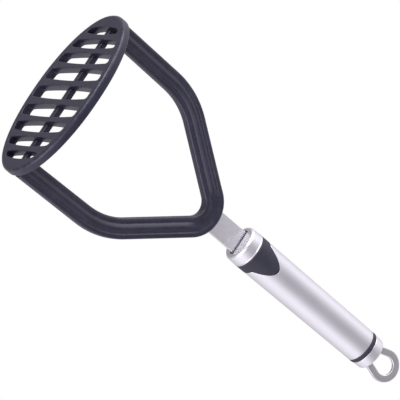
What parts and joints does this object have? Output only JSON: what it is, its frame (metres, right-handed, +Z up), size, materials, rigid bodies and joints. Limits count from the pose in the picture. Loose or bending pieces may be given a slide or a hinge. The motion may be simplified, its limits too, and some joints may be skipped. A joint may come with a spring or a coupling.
{
  "type": "potato masher",
  "caption": "Upright potato masher: oval slotted nylon plate on a two-armed nylon frame, flat steel shank, round steel handle with soft grip and hanging loop.",
  "frame": {"origin": "middle of the flat mashing face, on which the masher stands", "axes": "+Z up the shank and handle to the hanging loop, X along the long axis of the oval plate and in the plane of the frame, Y across the frame"},
  "size_m": [0.112, 0.0756, 0.2831],
  "materials": {
    "nylon": "charcoal glass-filled nylon, matte with a soft satin sheen",
    "soft_grip": "dark soft-touch rubber",
    "satin_steel": "satin stainless steel, brushed along the handle",
    "stamped_steel": "tumbled stamped steel, duller than the handle",
    "core_nylon": "plain moulded nylon, hidden inside the handle"
  },
  "bodies": {
    "root": {"mashing_plate": "nylon", "frame": "nylon", "shank": "satin_steel", "ferrule": "satin_steel", "shank_seal": "soft_grip", "soft_grip": "soft_grip", "handle_tube": "satin_steel", "core_half_front": "core_nylon", "core_half_back": "core_nylon", "tang_pin_1": "stamped_steel", "tang_pin_2": "stamped_steel", "rear_plug": "core_nylon", "rear_ring": "soft_grip", "end_cap": "satin_steel", "hanging_loop": "stamped_steel", "loop_pin_left": "stamped_steel", "loop_pin_right": "stamped_steel"}
  },
  "joints": []
}
